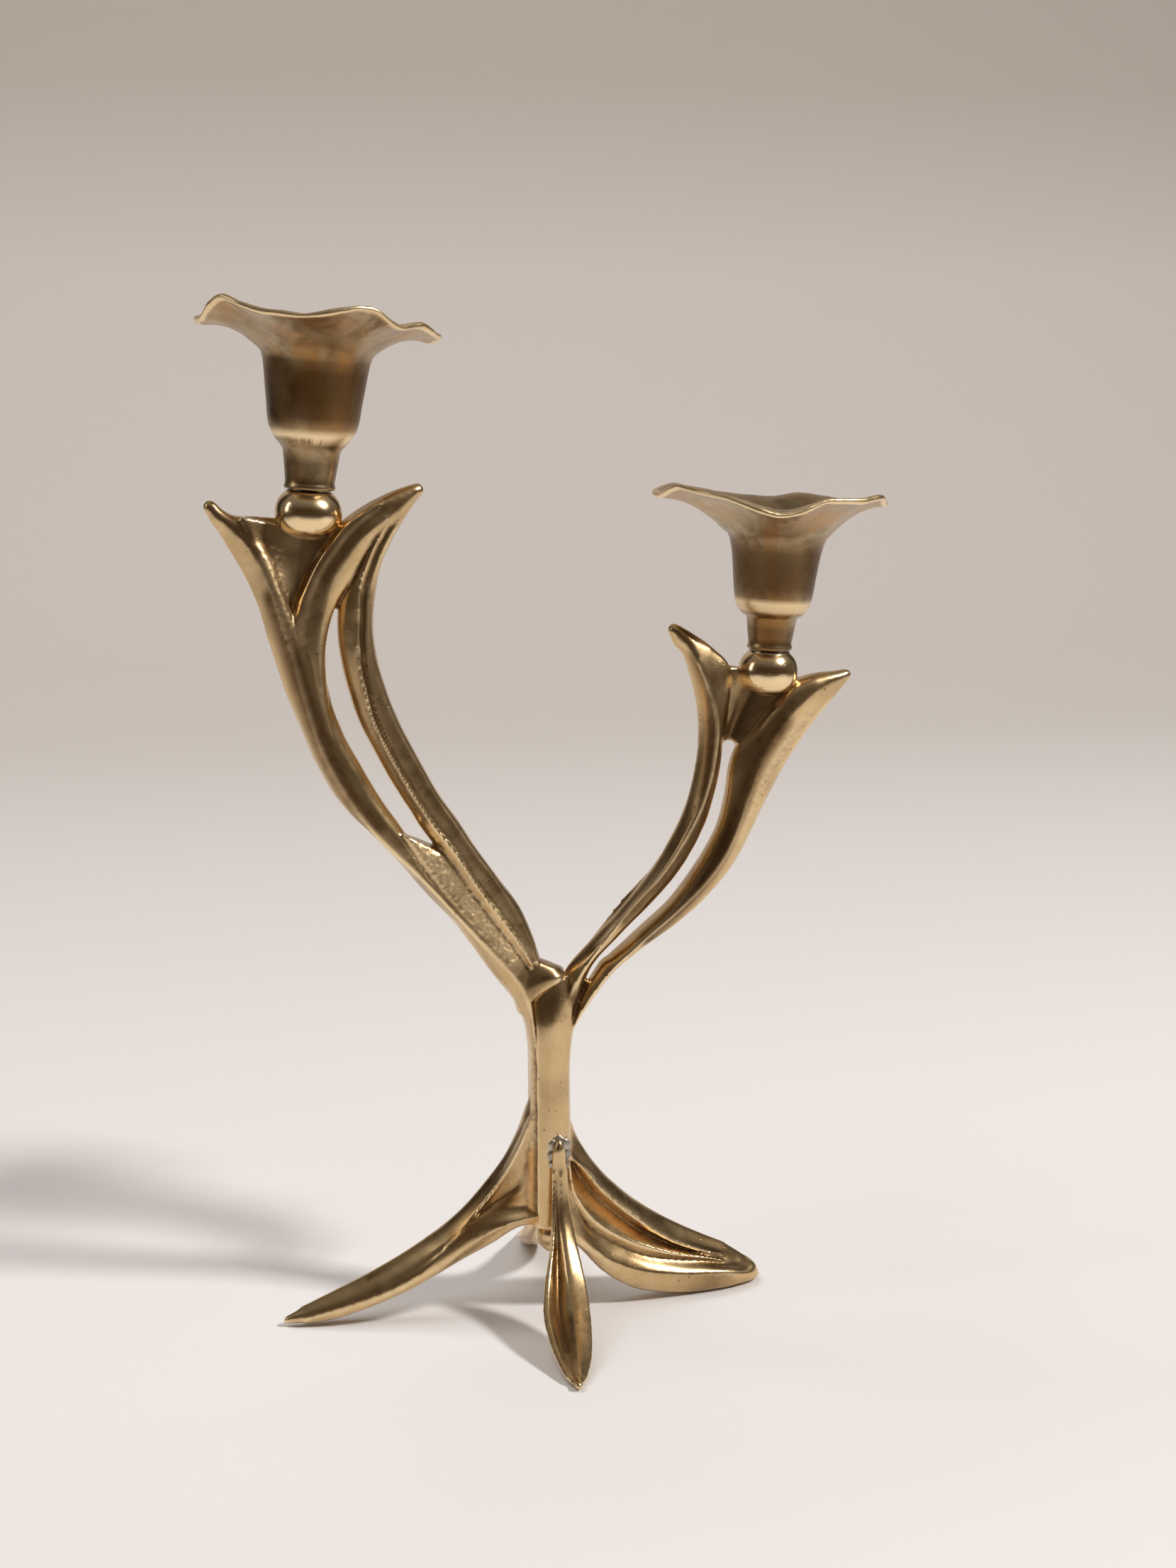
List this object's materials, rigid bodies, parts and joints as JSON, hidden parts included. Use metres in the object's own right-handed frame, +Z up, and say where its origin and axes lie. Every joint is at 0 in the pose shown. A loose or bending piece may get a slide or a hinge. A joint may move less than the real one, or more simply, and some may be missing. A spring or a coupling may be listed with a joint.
{
  "type": "tabletop candelabra",
  "caption": "Asymmetric floral candelabra in cast brass: forked slotted-leaf arms carry trumpet-flower candle cups on bud balls, over a splayed foot of leaves.",
  "frame": {"origin": "on the surface it stands on, under the middle of the whole piece", "axes": "+Z up, +X towards the short arm, -Y to the front, where the separate front leaf foot points"},
  "size_m": [0.2168, 0.1374, 0.3284],
  "materials": {
    "branch_brass": "aged, hand-polished casting",
    "foot_brass": "aged, hand-polished casting",
    "bud_brass": "polished",
    "cup_brass": "brown patina over satin brass",
    "stud_steel": "threaded",
    "screw_brass": "polished",
    "solder": "silver solder"
  },
  "bodies": {
    "candelabra": {"left_branch": "branch_brass", "right_branch": "branch_brass", "front_foot": "foot_brass", "rear_foot": "foot_brass", "front_solder": "solder", "rear_solder": "solder", "left_bud": "bud_brass", "right_bud": "bud_brass", "base_screw": "screw_brass"},
    "left_stud_rise": {"left_cup_stud": "stud_steel"},
    "left_flower": {"left_cup": "cup_brass"},
    "right_stud_rise": {"right_cup_stud": "stud_steel"},
    "right_flower": {"right_cup": "cup_brass"}
  },
  "joints": [
    {"name": "left_cup_rise", "type": "slide", "parent": "candelabra", "child": "left_stud_rise", "axis": [0.075, 0, 0.9972], "range_m": [0, 0.0055]},
    {"name": "left_cup_turn", "type": "hinge", "parent": "left_stud_rise", "child": "left_flower", "pos_m": [-0.07524, -0.002, 0.2708], "axis": [0.075, 0, 0.9972], "range_deg": [0, 1980]},
    {"name": "right_cup_rise", "type": "slide", "parent": "candelabra", "child": "right_stud_rise", "axis": [0.0593, 0, 0.9982], "range_m": [0, 0.0055]},
    {"name": "right_cup_turn", "type": "hinge", "parent": "right_stud_rise", "child": "right_flower", "pos_m": [0.07036, -0.002, 0.218], "axis": [0.0593, 0, 0.9982], "range_deg": [0, 1980]}
  ],
  "couplings": [
    {"joint": "left_cup_rise", "follows": "left_cup_turn", "m_per_rad": 0.00015915},
    {"joint": "right_cup_rise", "follows": "right_cup_turn", "m_per_rad": 0.00015915}
  ]
}
